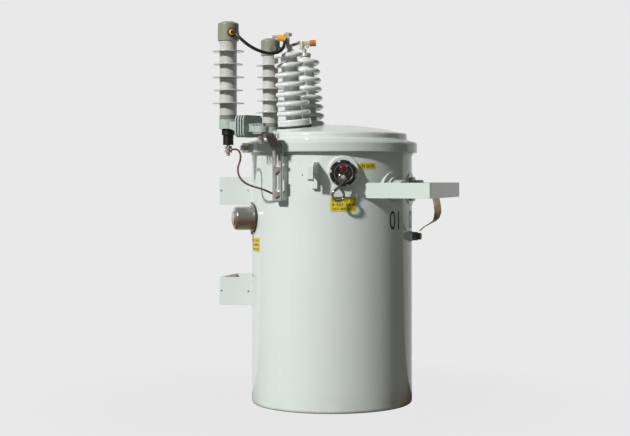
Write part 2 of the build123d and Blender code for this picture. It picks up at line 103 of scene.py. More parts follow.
class Graph:
    # the nodes of a material or of the world, wired up one at a time
    def __init__(self, owner):
        owner.use_nodes = True
        self.owner = owner
        self.tree = owner.node_tree
        self.tree.nodes.clear()

    def join(self, socket, value):
        if isinstance(value, Wire):
            self.tree.links.new(value.plug, socket)
        elif socket.type == "RGBA":
            socket.default_value = (*value, 1)
        else:
            socket.default_value = value

    def put(self, kind, settings, sockets, out=0):
        node = self.tree.nodes.new(kind)
        for name, value in settings.items():
            setattr(node, name, value)
        for name, value in sockets.items():
            self.join(node.inputs[name], value)
        return Wire(self, node.outputs[out]) if node.outputs else None

    def place(self):
        return self.put("ShaderNodeTexCoord", {}, {}, "Object")

    def axis(self, letter):
        return self.put("ShaderNodeSeparateXYZ", {}, {0: self.place()}, letter)

    def along(self, spot, direction):
        # how far a spot lies in one direction
        ends = {0: spot, 1: direction}
        return self.put("ShaderNodeVectorMath", {"operation": "DOT_PRODUCT"}, ends, "Value")

    def larger(self, first, second):
        return self.put("ShaderNodeMath", {"operation": "MAXIMUM"}, {0: first, 1: second})

    def noise(self, scale, detail=3.0, stretch=(1, 1, 1), shift=(0, 0, 0)):
        mapping = {"Vector": self.place(), "Scale": stretch, "Location": shift}
        spot = self.put("ShaderNodeMapping", {}, mapping)
        return self.put("ShaderNodeTexNoise", {}, {"Vector": spot, "Scale": scale, "Detail": detail})

    def fade(self, value, low, high, start=0.0, end=1.0):
        ends = {"Value": value, "From Min": low, "From Max": high, "To Min": start, "To Max": end}
        return self.put("ShaderNodeMapRange", {"interpolation_type": "SMOOTHSTEP"}, ends)

    def mixed(self, factor, first, second):
        return self.put("ShaderNodeMix", {"data_type": "RGBA"}, {0: factor, 6: first, 7: second}, 2)

    def rounded(self, radius):
        # softens the shading of sharp edges
        return self.put("ShaderNodeBevel", {"samples": 4}, {"Radius": radius})

    def bump(self, height, distance, under=None):
        sockets = {"Height": height, "Distance": distance, "Strength": 1.0}
        if under is not None:
            sockets["Normal"] = under
        return self.put("ShaderNodeBump", {}, sockets)

    def seen(self):
        # 1 for what the camera sees, straight or in a mirror or through glass
        paths = [self.put("ShaderNodeLightPath", {}, {}, ray) for ray in
                 ("Is Camera Ray", "Is Glossy Ray", "Is Transmission Ray")]
        return paths[0], self.larger(paths[1], paths[2])

    def dress(self, **sockets):
        named = {socketNames[name]: value for name, value in sockets.items()}
        surface = self.put("ShaderNodeBsdfPrincipled", {}, named)
        self.put("ShaderNodeOutputMaterial", {}, {"Surface": surface})
        return self.owner


socketNames = {
    "colour": "Base Color",
    "rough": "Roughness",
    "metal": "Metallic",
    "normal": "Normal",
    "coat": "Coat Weight",
    "coatRough": "Coat Roughness",
    "level": "Specular IOR Level",
}


def newFinish(name):
    return Graph(bpy.data.materials.new(name))


tankPaint = {
    "colour": (0.615, 0.652, 0.62),
    "cool": (0.59, 0.638, 0.618),
    "warm": (0.63, 0.645, 0.60),
    # brown for dirt specks and spatter, and for painted warm bounce light near the bottom
    "dirtAndBounce": (0.40, 0.29, 0.17),
    "dirtAndBounceTop": 0.075,       # how high the splashed dirt and the painted warm bounce light reach
    "dirtAndBounceSide": 14.0,      # degrees round to the side where the dirt and the painted bounce light are heaviest
    "streak": (0.53, 0.55, 0.50),
    "cloudSize": 3.1,
    "patchSize": 7.5,
    "splashSize": 13,
    "speckSize": 210,
    "runStretch": (55, 55, 1.6),    # long thin runs down the wall
    "runsFrom": (0.30, 0.72),       # heights over which the runs come in
    "rough": 0.46,
    "peel": 0.00010,        # depth of the enamel's orange peel
    "coat": 0.75,
    "coatRough": 0.07,
    "level": 0.3,
    "edge": 0.0015,
}
# fittings in the same paint, each faded in its own way
fittingPaints = {
    "fittingPaint": {},
    "guardPaint": {"colour": (0.555, 0.625, 0.58), "cool": (0.49, 0.59, 0.545), "coat": 0.45},
    "bracketPaint": {"colour": (0.525, 0.555, 0.525), "cool": (0.50, 0.54, 0.52), "coat": 0.2},
    "hangerPaint": {"colour": (0.585, 0.62, 0.59), "cool": (0.56, 0.605, 0.585)},
    "bandPaint": {"colour": (0.565, 0.605, 0.57), "cool": (0.53, 0.585, 0.56)},
}


def cloudedPaint(f, settings):
    clouds = f.fade(f.noise(settings["cloudSize"], 4), 0.35, 0.65)
    return f.mixed(clouds * 0.55, settings["colour"], settings["cool"])


def enamelled(f, settings, colour, wear, chips):
    # the enamel's gloss and peel; wear roughens it and chips take its coat away
    rough = settings["rough"] + f.noise(24, 4) * 0.10 + wear
    peel = f.noise(420, 2) * 0.4 + f.noise(60, 3) * 0.8
    normal = f.bump(peel, settings["peel"], f.rounded(settings["edge"]))
    coat = settings["coat"] - chips * 0.5
    return f.dress(colour=colour, rough=rough, level=settings["level"], normal=normal, coat=coat,
                   coatRough=settings["coatRough"])


def paintFinish(name, settings, dirtAndBounceAmount=1.0):
    f = newFinish(name)
    colour = cloudedPaint(f, settings)
    patches = f.fade(f.noise(settings["patchSize"], 5, shift=(3, 1, 0)), 0.52, 0.72)
    colour = f.mixed(patches * 0.35, colour, settings["warm"])
    runs = f.fade(f.noise(1.0, 4, stretch=settings["runStretch"]), 0.56, 0.75)
    high = f.fade(f.axis("Z"), *settings["runsFrom"])
    colour = f.mixed(runs * high * 0.22, colour, settings["streak"])
    # near the bottom, brown towards both edges across the camera's view, heaviest at the right: partly
    # spattered dirt, partly painted warm bounce light from the ground
    turn = radians(settings["dirtAndBounceSide"])
    across = f.along(f.place(), (cos(turn), sin(turn), 0))
    sides = f.larger(f.fade(across, 0.45 * tankRadius, tankRadius, 0.18, 1.0),
                     f.fade(across, -0.6 * tankRadius, -tankRadius, 0.0, 0.5))
    low = f.fade(f.axis("Z"), settings["dirtAndBounceTop"], 0.0)
    spatter = f.noise(settings["splashSize"], 6, stretch=(1, 1, 0.6))
    splashAndBounce = low * sides * f.fade(spatter, 0.36, 0.70)
    # a smooth brown haze low at the right edge: painted warm bounce light from the ground
    paintedBounceLow = f.fade(f.axis("Z"), settings["dirtAndBounceTop"] * 1.8, 0.0)
    paintedBounce = paintedBounceLow * f.fade(across, 0.8 * tankRadius, tankRadius)
    colour = f.mixed(f.larger(splashAndBounce * 0.9, paintedBounce * 0.65) * dirtAndBounceAmount, colour, settings["dirtAndBounce"])
    specks = f.fade(f.noise(settings["speckSize"], 2), 0.74, 0.765)
    colour = f.mixed(specks * 0.5, colour, settings["dirtAndBounce"])
    return enamelled(f, settings, colour, splashAndBounce * 0.25, f.larger(splashAndBounce, specks))


coverScuffs = {
    "colour": (0.42, 0.36, 0.29),
    "low": 0.012,           # how far below the crown the scuffs start, and are full
    "high": 0.002,
    "size": 26,
    "speckSize": 190,
}


def coverFinish(name, settings, scuffs):
    # the same paint, with rubbed brown scuffs on the crown
    f = newFinish(name)
    colour = cloudedPaint(f, settings)
    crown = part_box("tank_cover")[1][2]
    top = f.fade(f.axis("Z"), crown - scuffs["low"], crown - scuffs["high"])
    rubbed = f.fade(f.noise(scuffs["size"], 6, stretch=(0.35, 1, 1)), 0.57, 0.66)
    colour = f.mixed(top * rubbed * 0.6, colour, scuffs["colour"])
    specks = f.fade(f.noise(scuffs["speckSize"], 2), 0.735, 0.76)
    colour = f.mixed(specks * 0.4, colour, settings["dirtAndBounce"])
    return enamelled(f, settings, colour, rubbed * top * 0.2, specks)


porcelain = {
    "colour": (0.74, 0.75, 0.73),
    "shade": (0.68, 0.70, 0.68),
    "speck": (0.35, 0.30, 0.24),
    "cloudSize": 14,
    "speckSize": 330,
    "rough": 0.12,
    "waveSize": 45,
    "wave": 0.0003,         # depth of the glaze's slow waves
    "coatRough": 0.05,
}


def porcelainFinish(name, settings):
    f = newFinish(name)
    clouds = f.fade(f.noise(settings["cloudSize"], 4), 0.3, 0.7)
    colour = f.mixed(clouds, settings["colour"], settings["shade"])
    specks = f.fade(f.noise(settings["speckSize"], 2), 0.75, 0.775)
    colour = f.mixed(specks, colour, settings["speck"])
    rough = settings["rough"] + f.noise(30, 3) * 0.10 + specks * 0.3
    normal = f.bump(f.noise(settings["waveSize"], 3), settings["wave"])
    return f.dress(colour=colour, rough=rough, normal=normal, coat=1.0 - specks,
                   coatRough=settings["coatRough"])


def plasticFinish(name, settings):
    f = newFinish(name)
    clouds = f.fade(f.noise(settings["size"], 4), 0.3, 0.7)
    colour = f.mixed(clouds, settings["colour"], settings["shade"])
    dust = f.fade(f.noise(settings["size"] * 5, 5), 0.50, 0.75) * settings["dustAmount"]
    colour = f.mixed(dust, colour, settings["dust"])
    rough = settings["rough"] + f.noise(settings["size"] * 3, 4) * 0.14
    normal = f.bump(f.noise(settings["grain"], 2), settings["depth"], f.rounded(settings["edge"]))
    coat = settings["coat"] - dust * 0.2
    coatRough = settings.get("coatRough", 0.2)
    return f.dress(colour=colour, rough=rough, normal=normal, coat=coat, coatRough=coatRough)


plastics = {
    "arresterPolymer": {
        "colour": (0.535, 0.53, 0.50), "shade": (0.475, 0.47, 0.44), "dust": (0.33, 0.31, 0.27),
        "dustAmount": 0.25, "size": 20, "rough": 0.42, "grain": 900, "depth": 0.00005, "edge": 0.0006,
        "coat": 0.8, "coatRough": 0.1},
    "collarCream": {
        "colour": (0.82, 0.80, 0.69), "shade": (0.72, 0.68, 0.55), "dust": (0.40, 0.34, 0.24),
        "dustAmount": 0.3, "size": 30, "rough": 0.32, "grain": 700, "depth": 0.00005, "edge": 0.0006,
        "coat": 0.3},
    "capTaupe": {
        "colour": (0.262, 0.264, 0.192), "shade": (0.225, 0.228, 0.168), "dust": (0.32, 0.32, 0.26),
        "dustAmount": 0.2, "size": 18, "rough": 0.36, "grain": 800, "depth": 0.00006, "edge": 0.001,
        "coat": 0.05},
    "baseMetal": {
        "colour": (0.26, 0.25, 0.20), "shade": (0.16, 0.155, 0.12), "dust": (0.40, 0.39, 0.31),
        "dustAmount": 0.3, "size": 35, "rough": 0.24, "grain": 500, "depth": 0.00006, "edge": 0.001,
        "coat": 0.3},
    "armGreen": {
        "colour": (0.40, 0.475, 0.43), "shade": (0.35, 0.425, 0.385), "dust": (0.27, 0.30, 0.27),
        "dustAmount": 0.3, "size": 22, "rough": 0.40, "grain": 800, "depth": 0.00008, "edge": 0.0012,
        "coat": 0.1},
    "blackPlastic": {
        "colour": (0.0035, 0.0035, 0.0035), "shade": (0.006, 0.006, 0.006),
        "dust": (0.03, 0.029, 0.027), "dustAmount": 0.2, "size": 30, "rough": 0.36, "grain": 900,
        "depth": 0.00005, "edge": 0.0008, "coat": 0.05},
    "nutBlack": {
        "colour": (0.009, 0.010, 0.009), "shade": (0.016, 0.018, 0.017), "dust": (0.09, 0.095, 0.085),
        "dustAmount": 0.35, "size": 34, "rough": 0.30, "grain": 900, "depth": 0.00007, "edge": 0.001,
        "coat": 0.2},
    "gasketRubber": {
        "colour": (0.022, 0.022, 0.021), "shade": (0.04, 0.038, 0.035), "dust": (0.15, 0.14, 0.12),
        "dustAmount": 0.25, "size": 40, "rough": 0.6, "grain": 900, "depth": 0.0001, "edge": 0.0005,
        "coat": 0.05},
    "yellowSleeve": {
        "colour": (0.90, 0.47, 0.035), "shade": (0.82, 0.37, 0.02), "dust": (0.45, 0.20, 0.05),
        "dustAmount": 0.25, "size": 40, "rough": 0.28, "grain": 900, "depth": 0.00005, "edge": 0.001,
        "coat": 0.3},
    "orangeSleeve": {
        "colour": (0.55, 0.20, 0.015), "shade": (0.40, 0.13, 0.01), "dust": (0.35, 0.14, 0.04),
        "dustAmount": 0.3, "size": 40, "rough": 0.25, "grain": 900, "depth": 0.00005, "edge": 0.001,
        "coat": 0.4},
    "labelYellow": {
        "colour": (0.66, 0.53, 0.03), "shade": (0.60, 0.475, 0.022), "dust": (0.33, 0.29, 0.08),
        "dustAmount": 0.2, "size": 50, "rough": 0.38, "grain": 600, "depth": 0.00003, "edge": 0.0002,
        "coat": 0.2},
    "markBlack": {
        "colour": (0.006, 0.007, 0.006), "shade": (0.012, 0.013, 0.012), "dust": (0.10, 0.11, 0.10),
        "dustAmount": 0.15, "size": 80, "rough": 0.45, "grain": 700, "depth": 0.00003, "edge": 0.0002,
        "coat": 0.05},
    "lvEpoxy": {
        "colour": (0.50, 0.53, 0.51), "shade": (0.42, 0.45, 0.44), "dust": (0.30, 0.28, 0.24),
        "dustAmount": 0.2, "size": 25, "rough": 0.3, "grain": 700, "depth": 0.00006, "edge": 0.0008,
        "coat": 0.3},
    "leadRubber": {
        "colour": (0.008, 0.009, 0.010), "shade": (0.014, 0.015, 0.016), "dust": (0.06, 0.06, 0.06),
        "dustAmount": 0.2, "size": 60, "rough": 0.35, "grain": 1200, "depth": 0.00004, "edge": 0.0003,
        "coat": 0.1},
}


def metalFinish(name, settings):
    f = newFinish(name)
    clouds = f.fade(f.noise(settings["size"], 5), 0.35, 0.65)
    colour = f.mixed(clouds, settings["colour"], settings["shade"])
    stain = f.fade(f.noise(settings["size"] * 3.3, 6, shift=(5, 2, 1)), 0.52, 0.72)
    colour = f.mixed(stain * settings["stainAmount"], colour, settings["stain"])
    metal = settings["metal"] - stain * settings["stainAmount"] * 0.6
    if "zone" in settings:
        letter, start, end, zoneColour, zoneMetal = settings["zone"]
        zone = f.fade(f.axis(letter), start, end)
        colour = f.mixed(zone, colour, zoneColour)
        metal = metal * (1 - zone) + zone * zoneMetal
    spread = f.noise(settings["size"] * 2, 4) * settings["roughSpread"]
    rough = settings["rough"] + spread + stain * 0.12
    fine = f.noise(settings["grain"], 3, stretch=settings["brushed"])
    normal = f.bump(fine, settings["depth"], f.rounded(settings["edge"]))
    return f.dress(colour=colour, rough=rough, metal=metal, normal=normal)


# a zone is an axis, where it starts and ends, and its colour and metal
metals = {
    "boltSteel": {
        "colour": (0.72, 0.69, 0.64), "shade": (0.45, 0.42, 0.38), "stain": (0.20, 0.15, 0.11),
        "stainAmount": 0.35, "size": 60, "rough": 0.16, "roughSpread": 0.2, "grain": 500,
        "brushed": (1, 1, 1), "depth": 0.00005, "edge": 0.0008, "metal": 0.65},
    # the brown zone low on the cup is a painted reflection of the brown ground
    "cupSteel": {
        "colour": (0.43, 0.415, 0.385), "shade": (0.37, 0.35, 0.32), "stain": (0.26, 0.19, 0.12),
        "stainAmount": 0.15, "size": 9, "rough": 0.12, "roughSpread": 0.10, "grain": 260,
        "brushed": (1, 1, 0.15), "depth": 0.00003, "edge": 0.0012, "metal": 0.7,
        "zone": ("Z", 0.534, 0.516, (0.26, 0.18, 0.11), 0.7)},
    "chrome": {
        "colour": (0.62, 0.59, 0.56), "shade": (0.52, 0.48, 0.45), "stain": (0.16, 0.10, 0.06),
        "stainAmount": 0.3, "size": 50, "rough": 0.06, "roughSpread": 0.08, "grain": 400,
        "brushed": (1, 1, 1), "depth": 0.00002, "edge": 0.0006, "metal": 1.0},
    # the faceplate's chrome given a dark base colour: a painted dark reflection in its face
    "darkReflectionChrome": {
        "colour": (0.20, 0.19, 0.185), "shade": (0.12, 0.11, 0.105), "stain": (0.30, 0.26, 0.22),
        "stainAmount": 0.4, "size": 50, "rough": 0.08, "roughSpread": 0.10, "grain": 400,
        "brushed": (1, 1, 1), "depth": 0.00003, "edge": 0.0008, "metal": 1.0},
    "tinnedBrass": {
        "colour": (0.78, 0.75, 0.66), "shade": (0.62, 0.58, 0.48), "stain": (0.36, 0.27, 0.17),
        "stainAmount": 0.4, "size": 40, "rough": 0.22, "roughSpread": 0.2, "grain": 600,
        "brushed": (1, 1, 1), "depth": 0.00006, "edge": 0.0008, "metal": 0.5},
    "bossSteel": {
        "colour": (0.16, 0.19, 0.19), "shade": (0.11, 0.13, 0.13), "stain": (0.10, 0.075, 0.06),
        "stainAmount": 0.35, "size": 50, "rough": 0.38, "roughSpread": 0.2, "grain": 500,
        "brushed": (1, 1, 1), "depth": 0.0001, "edge": 0.001, "metal": 0.4,
        "zone": ("X", 0.2378, 0.2368, (0.55, 0.60, 0.56), 0.0)},
    "copper": {
        "colour": (0.20, 0.095, 0.06), "shade": (0.09, 0.045, 0.03), "stain": (0.05, 0.028, 0.02),
        "stainAmount": 0.6, "size": 42, "rough": 0.30, "roughSpread": 0.2, "grain": 700,
        "brushed": (1, 1, 1), "depth": 0.00004, "edge": 0.0002, "metal": 0.75},
    "studRed": {
        "colour": (0.15, 0.065, 0.055), "shade": (0.09, 0.045, 0.038), "stain": (0.02, 0.015, 0.013),
        "stainAmount": 0.5, "size": 60, "rough": 0.35, "roughSpread": 0.2, "grain": 700,
        "brushed": (1, 1, 1), "depth": 0.00006, "edge": 0.0008, "metal": 0.4},
    "strapCopper": {
        "colour": (0.36, 0.29, 0.18), "shade": (0.24, 0.19, 0.12), "stain": (0.07, 0.05, 0.035),
        "stainAmount": 0.7, "size": 30, "rough": 0.36, "roughSpread": 0.2, "grain": 700,
        "brushed": (1, 1, 1), "depth": 0.00008, "edge": 0.0003, "metal": 0.45},
}

galvanised = {
    "colour": (0.36, 0.37, 0.36),
    "shade": (0.29, 0.30, 0.295),
    "stain": (0.16, 0.132, 0.095),
    # painted dark brown shade for the slanted stretch of the strap
    "slantShade": (0.17, 0.145, 0.105),
    "bend": (0.716, 0.752),     # heights between which the strap slants; there it is painted dark brown shade
    "cells": 130.0,
    "stainSize": 60,
    "rough": 0.34,
    "metal": 0.25,
    "depth": 0.0001,
    "edge": 0.0008,
}


def galvanisedFinish(name, settings):
    f = newFinish(name)
    cell = f.put("ShaderNodeTexVoronoi", {}, {"Vector": f.place(), "Scale": settings["cells"]}, "Color")
    spangle = f.put("ShaderNodeSeparateColor", {}, {0: cell}, 0)
    colour = f.mixed(spangle * 0.7, settings["colour"], settings["shade"])
    stain = f.fade(f.noise(settings["stainSize"], 5), 0.54, 0.74)
    colour = f.mixed(stain * 0.5, colour, settings["stain"])
    # the slanted stretch is painted dark brown: painted shade
    low, high = settings["bend"]
    rising = f.fade(f.axis("Z"), low - 0.004, low + 0.012)
    slant = rising * f.fade(f.axis("Z"), high + 0.006, high - 0.004)
    colour = f.mixed(slant * f.fade(f.noise(40, 4), 0.25, 0.55, 0.55, 0.95), colour, settings["slantShade"])
    grain = f.noise(300, 3) + spangle * 0.3
    normal = f.bump(grain, settings["depth"], f.rounded(settings["edge"]))
    rough = settings["rough"] + spangle * 0.18
    metal = settings["metal"] - stain * 0.1
    return f.dress(colour=colour, rough=rough, metal=metal, normal=normal)


lens = {
    "colour": (0.20, 0.002, 0.012),
    "deep": (0.08, 0.0, 0.004),
    "cloudSize": 120,
    "rough": 0.08,
    "depth": 0.00003,
    "coatRough": 0.03,
}


def lensFinish(name, settings):
    f = newFinish(name)
    clouds = f.fade(f.noise(settings["cloudSize"], 3), 0.35, 0.65)
    colour = f.mixed(clouds, settings["colour"], settings["deep"])
    normal = f.bump(f.noise(500, 2), settings["depth"])
    rough = settings["rough"] + f.noise(90, 3) * 0.1
    return f.dress(colour=colour, rough=rough, normal=normal, coat=1.0,
                   coatRough=settings["coatRough"])


finishes = {
    "tankPaint": paintFinish("tankPaint", tankPaint),
    "coverPaint": coverFinish("coverPaint", tankPaint, coverScuffs),
    "porcelain": porcelainFinish("porcelain", porcelain),
    "galvanised": galvanisedFinish("galvanised", galvanised),
    "redLens": lensFinish("redLens", lens),
}
for name, change in fittingPaints.items():
    finishes[name] = paintFinish(name, {**tankPaint, **change}, 0.0)
for name, settings in plastics.items():
    finishes[name] = plasticFinish(name, settings)
for name, settings in metals.items():
    finishes[name] = metalFinish(name, settings)

nodeFinishes = {
    "tankPaint": ["tank_body"],
    "coverPaint": ["tank_cover"],
    "guardPaint": ["lv_guard"],
    "bandPaint": ["cover_band"],
    "bracketPaint": ["side_bracket_1", "side_bracket_2"],
    "hangerPaint": ["pole_hanger_upper", "pole_hanger_lower"],
    "fittingPaint": ["lifting_lug_1", "lifting_lug_2", "breaker_boss"],
    "porcelain": ["hv_bushing_1", "hv_bushing_2"],
    "gasketRubber": ["hv_gasket_1", "hv_gasket_2", "tap_changer_gasket"],
    "tinnedBrass": [
        "hv_terminal_1", "hv_terminal_2", "lv_terminal_1", "lv_terminal_2", "lv_terminal_3"],
    "yellowSleeve": ["lead_sleeve_1"],
    "orangeSleeve": ["lead_sleeve_2"],
    "arresterPolymer": ["arrester_body_1", "arrester_body_2"],
    "collarCream": ["arrester_collar_1", "arrester_collar_2"],
    "capTaupe": ["arrester_cap_1", "arrester_cap_2"],
    "baseMetal": ["arrester_base_1", "arrester_base_2"],
    "armGreen": ["arrester_arm_1", "arrester_arm_2"],
    "blackPlastic": ["arrester_disconnector_1", "arrester_disconnector_2"],
    "nutBlack": ["breaker_locknut"],
    "boltSteel": ["arrester_stud_1", "arrester_stud_2", "bracket_bolts_1", "bracket_bolts_2", "band_bolt"],
    "galvanised": ["bracket_strap_1", "bracket_strap_2"],
    "cupSteel": ["tap_changer_cover"],
    "darkReflectionChrome": ["breaker_faceplate"],
    "chrome": ["breaker_handle"],
    "redLens": ["breaker_lens"],
    "lvEpoxy": ["lv_bushing_1", "lv_bushing_2", "lv_bushing_3"],
    "bossSteel": ["ground_boss"],
    "studRed": ["ground_stud"],
    "strapCopper": ["ground_strap"],
}
for finish, members in nodeFinishes.items():
    for member in members:
        for place in nodes[member].material_slots:
            place.material = finishes[finish]
print("finishes wired")


def outward(angle, reach, height):
    # a frame on the tank's radial line: local z away from the tank, local x up
    out = Vector((cos(radians(angle)), sin(radians(angle)), 0))
    up = Vector((0, 0, 1))
    side = out.cross(up)
    turn = Matrix((up, side, out)).transposed().to_4x4()
    return Matrix.Translation(out * reach + up * height) @ turn


def upright(x, y, z):
    return Matrix.Translation((x, y, z))


def middle(node):
    low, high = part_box(node)
    return [(a + b) / 2 for a, b in zip(low, high)]


def onWall(angle, height, proud=0.0):
    reach = tankRadius + proud
    return Vector((reach * cos(radians(angle)), reach * sin(radians(angle)), height))


def wallAt(y, side, height):
    # the spot on the tank wall with this y, on the +x or -x half
    return Vector((side * sqrt(tankRadius**2 - y**2), y, height))


def lathe(bm, place, profile, steps=40):
    # turns a closed outline of (radius, height) points about the local z axis
    rings = []
    for radius, height in profile:
        ring = []
        for step in range(steps):
            turn = 2 * pi * step / steps
            spot = Vector((radius * cos(turn), radius * sin(turn), height))
            ring.append(bm.verts.new(place @ spot))
        rings.append(ring)
    for lower, upper in zip(rings, rings[1:] + rings[:1]):
        for step in range(steps):
            after = (step + 1) % steps
            bm.faces.new((lower[step], lower[after], upper[after], upper[step]))


def tube(bm, points, radii, around, sides=8, closed=False):
    # a round bar along points, its cross-section set up from the direction around
    rings = []
    count = len(points)
    for i, spot in enumerate(points):
        ahead = points[(i + 1) % count] if closed else points[min(i + 1, count - 1)]
        behind = points[i - 1] if closed or i else points[0]
        run = (ahead - behind).normalized()
        first = run.cross(around).normalized()
        second = run.cross(first)
        ring = []
        for side in range(sides):
            turn = 2 * pi * side / sides
            ring.append(bm.verts.new(spot + (first * cos(turn) + second * sin(turn)) * radii[i]))
        rings.append(ring)
    pairs = list(zip(rings, rings[1:]))
    if closed:
        pairs.append((rings[-1], rings[0]))
    else:
        bm.faces.new(rings[0])
        bm.faces.new(rings[-1][::-1])
    for lower, upper in pairs:
        for side in range(sides):
            after = (side + 1) % sides
            bm.faces.new((lower[side], upper[side], upper[after], lower[after]))


def addPiece(name, bm, finish, slot, body="transformer", sharp=40):
    bmesh.ops.remove_doubles(bm, verts=bm.verts, dist=1e-6)
    bmesh.ops.recalc_face_normals(bm, faces=bm.faces)
    mesh = bpy.data.meshes.new(name)
    bm.to_mesh(mesh)
    bm.free()
    for face in mesh.polygons:
        face.use_smooth = True
    mesh.set_sharp_from_angle(angle=radians(sharp))
    mesh.materials.append(finishes[finish])
    piece = bpy.data.objects.new(name, mesh)
    bpy.context.scene.collection.objects.link(piece)
    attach(piece, body)
    return piece


leads = {
    "jumper_lead_1": {
        "route": [(-0.2275, -0.2325, 1.038), (-0.2135, -0.2515, 1.0385), (-0.1965, -0.260, 1.0225),
                  (-0.171, -0.255, 0.9995), (-0.1445, -0.242, 0.9845), (-0.1175, -0.222, 0.9775),
                  (-0.0965, -0.2045, 0.984), (-0.0885, -0.187, 1.000), (-0.091, -0.170, 1.0195)],
        "length": 0.226},
    "jumper_lead_2": {
        "route": [(-0.2325, 0.2325, 1.032), (-0.2185, 0.2515, 1.037), (-0.199, 0.261, 1.046),
                  (-0.177, 0.255, 1.0495), (-0.163, 0.233, 1.050), (-0.1555, 0.206, 1.0495),
                  (-0.1465, 0.181, 1.047), (-0.1365, 0.158, 1.044), (-0.1255, 0.1345, 1.0405)],
        "length": 0.200},
}
leadDiameter = 0.009

groundWires = {
    "ground_wire_1": {
        "route": [(-0.2297, -0.217, 0.717), (-0.2147, -0.223, 0.720), (-0.2012, -0.229, 0.708),
                  (-0.1992, -0.234, 0.688), (-0.206, -0.241, 0.668), (-0.201, -0.247, 0.644),
                  (-0.184, -0.251, 0.626), (-0.159, -0.251, 0.616), (-0.133, -0.247, 0.609),
                  (-0.118, -0.243, 0.602), (-0.106, -0.238, 0.596)],
        "length": 0.211},
    "ground_wire_2": {
        "route": [(-0.2345, 0.217, 0.711), (-0.2195, 0.223, 0.714), (-0.2055, 0.229, 0.702),
                  (-0.2025, 0.234, 0.682), (-0.2085, 0.241, 0.662), (-0.2025, 0.247, 0.638),
                  (-0.1845, 0.250, 0.620), (-0.159, 0.250, 0.610), (-0.133, 0.247, 0.603),
                  (-0.118, 0.243, 0.596), (-0.106, 0.238, 0.590)],
        "length": 0.212},
}
strands = {"diameter": 0.0056, "count": 6, "lay": 0.034, "step": 3}


def makeLine(name, route):
    curve = bpy.data.curves.new(name, "CURVE")
    curve.dimensions = "3D"
    spline = curve.splines.new("NURBS")
    spline.points.add(len(route) - 1)
    for point, place in zip(spline.points, route):
        point.co = (*place, 1)
    spline.order_u = 3
    spline.use_endpoint_u = True
    spline.resolution_u = 16
    line = bpy.data.objects.new(name, curve)
    bpy.context.scene.collection.objects.link(line)
    return line


def makeLead(node, settings):
    cord = makeLine(node + "_line", settings["route"])
    cord.data.bevel_depth = leadDiameter / 2
    cord.data.bevel_resolution = 8
    cord.data.use_fill_caps = True
    cord.data.materials.append(finishes["leadRubber"])
    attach(cord, "transformer")
    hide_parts(node)


def readLine(name, route):
    # the spots that a smooth line through the route's control points passes through
    line = makeLine(name, route)
    mesh = bpy.data.meshes.new_from_object(line)
    spots = [Vector(vertex.co) for vertex in mesh.vertices]
    bpy.data.objects.remove(line)
    bpy.data.meshes.remove(mesh)
    return spots


def makeGroundWire(node, settings):
    # bare wire of six strands laid round a seventh
    path = readLine(node + "_path", settings["route"])
    spots = path[::strands["step"]]
    if spots[-1] != path[-1]:
        spots.append(path[-1])
    radius = strands["diameter"] / 6
    bm = bmesh.new()
    lines = [[] for strand in range(strands["count"])]
    travelled = 0.0
    first = Vector((0, 0, 1))
    for i, spot in enumerate(spots):
        run = (spots[min(i + 1, len(spots) - 1)] - spots[max(i - 1, 0)]).normalized()
        first = (first - run * first.dot(run)).normalized()
        second = run.cross(first)
        if i:
            travelled += (spot - spots[i - 1]).length
        for strand, line in enumerate(lines):
            turn = 2 * pi * (travelled / strands["lay"] + strand / strands["count"])
            line.append(spot + (first * cos(turn) + second * sin(turn)) * radius * 2)
    for line in lines + [spots]:
        tube(bm, line, [radius] * len(line), Vector((0.3, 0.9, 0.3)))
    wire = addPiece(node + "_strands", bm, "copper", "copper", sharp=60)
    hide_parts(node)


for node, settings in leads.items():
    makeLead(node, settings)
for node, settings in groundWires.items():
    makeGroundWire(node, settings)
print("leads and ground wires hung")


weld = {
    "radius": 0.0024,
    "ripple": 0.16,
    "pitch": 0.0042,
    "step": 0.0012,
    "hangerPlate": 0.006,       # thickness of each plate that stands on the wall
    "guardPlate": 0.004,
    "guardRoot": 0.182,         # half the distance between the guard's two ends
    "guardRadius": 0.002,
    "webSides": (-0.0170, -0.0123),     # the bracket's web, from its middle line
    "webStop": 0.044,           # how far the web stops short of the bracket's top
}


def rippled(corners, closed=False):
    # spots a short step apart along straight runs
    spots = []
    ends = corners[1:] + (corners[:1] if closed else [])
    for start, end in zip(corners, ends):
        count = max(1, round((end - start).length / weld["step"]))
        for step in range(count):
            spots.append(start.lerp(end, step / count))
    return spots if closed else spots + [corners[-1]]


def makeWeld(name, lines, around, closed=False, radius=weld["radius"]):
    bm = bmesh.new()
    for corners in lines:
        spots = rippled(corners, closed)
        radii = []
        for i in range(len(spots)):
            wave = abs(sin(pi * i * weld["step"] / weld["pitch"]))
            radii.append(radius * (1 - weld["ripple"] + weld["ripple"] * wave))
        tube(bm, spots, radii, around, closed=closed)
    return addPiece(name, bm, "fittingPaint", "tank_paint", sharp=80)


def loopOnWall(low, high, side, bottom, top):
    # round the foot of a plate between two y places, standing on the +x or -x wall
    return [wallAt(low, side, bottom), wallAt(high, side, bottom), wallAt(high, side, top),
            wallAt(low, side, top)]


